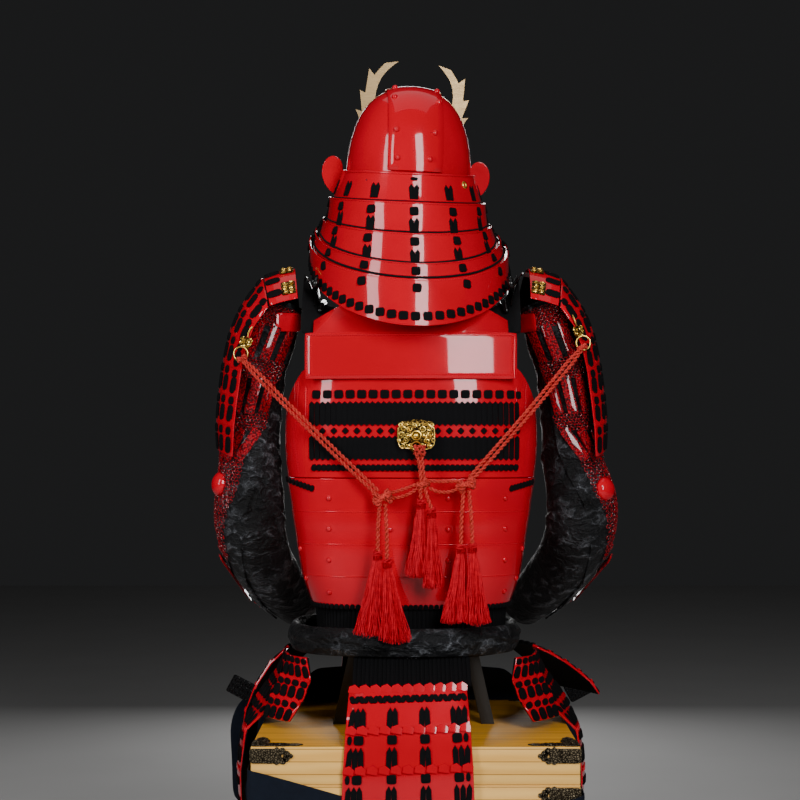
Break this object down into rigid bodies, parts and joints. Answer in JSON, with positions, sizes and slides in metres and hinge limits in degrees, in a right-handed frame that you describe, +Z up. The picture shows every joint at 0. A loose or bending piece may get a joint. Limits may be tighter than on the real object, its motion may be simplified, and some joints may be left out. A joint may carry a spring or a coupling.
{
  "type": "samurai armour on a wooden stand and chest",
  "caption": "Red lacquered Japanese armour with helmet, laced plates, brocade sleeves, cords and tassels, seated on a black stand on a pine chest.",
  "frame": {"origin": "on the chest's underside, in the armour's middle plane under the centre of the cuirass", "axes": "+Z up; the armour faces +Y, so the side shown in the picture is at -Y; +X is to the right of a viewer who looks along +Y"},
  "size_m": [0.6378, 0.5258, 1.5653],
  "materials": {
    "red_lacquer": "smooth gloss scarlet lacquer",
    "gilt": "polished gilt",
    "black_padding": "matt black padding",
    "brocade": "black brocade with a soft sheen",
    "mail_and_splints": "red lacquered mail and splints on black cloth",
    "black_lacing": "matt black flat braid",
    "navy_cloth": "matt navy cloth",
    "black_wood": "satin black",
    "pine": "clear satin varnish",
    "bronze_fittings": "dark engraved bronze",
    "silk_cord": "twisted coral silk",
    "tassel_thread": "crimson silk thread"
  },
  "bodies": {
    "root": {"helmet_bowl": "red_lacquer", "helmet_back_band": "red_lacquer", "helmet_visor": "red_lacquer", "neck_guard_lame_1": "red_lacquer", "neck_guard_lame_2": "red_lacquer", "neck_guard_lame_3": "red_lacquer", "neck_guard_lame_4": "red_lacquer", "neck_guard_lame_5": "red_lacquer", "turnback_left": "red_lacquer", "turnback_right": "red_lacquer", "back_plate": "red_lacquer", "back_lames": "red_lacquer", "front_plate": "red_lacquer", "front_lames": "red_lacquer", "back_board": "red_lacquer", "back_yoke": "red_lacquer", "guard_crown_left": "red_lacquer", "guard_crown_right": "red_lacquer", "guard_lames_left": "red_lacquer", "guard_lames_right": "red_lacquer", "skirt_back": "red_lacquer", "skirt_rear_left": "red_lacquer", "skirt_side_left": "red_lacquer", "skirt_front_side_left": "red_lacquer", "skirt_front_left": "red_lacquer", "skirt_rear_right": "red_lacquer", "skirt_side_right": "red_lacquer", "skirt_front_side_right": "red_lacquer", "skirt_front_right": "red_lacquer", "helmet_crest": "gilt", "bow_plate": "gilt", "guard_ring_left": "gilt", "guard_ring_right": "gilt", "shoulder_strap_left": "black_padding", "shoulder_strap_right": "black_padding", "sleeve_left": "brocade", "sleeve_right": "brocade", "waist_sash": "brocade", "arm_armour_left": "mail_and_splints", "arm_armour_right": "mail_and_splints", "waist_lacing": "black_lacing", "back_lacing": "black_lacing", "thigh_apron_left": "navy_cloth", "thigh_apron_right": "navy_cloth", "stand": "black_wood", "chest_body": "pine", "chest_lid": "pine", "knot_left": "silk_cord", "knot_centre": "silk_cord", "knot_right": "silk_cord", "ball_knot": "silk_cord", "drop_cord": "silk_cord", "shoulder_cord_left": "silk_cord", "shoulder_cord_right": "silk_cord", "loop_left": "silk_cord", "loop_right": "silk_cord", "tassels_left": "tassel_thread", "tassels_centre": "tassel_thread", "tassels_right": "tassel_thread"}
  },
  "joints": []
}
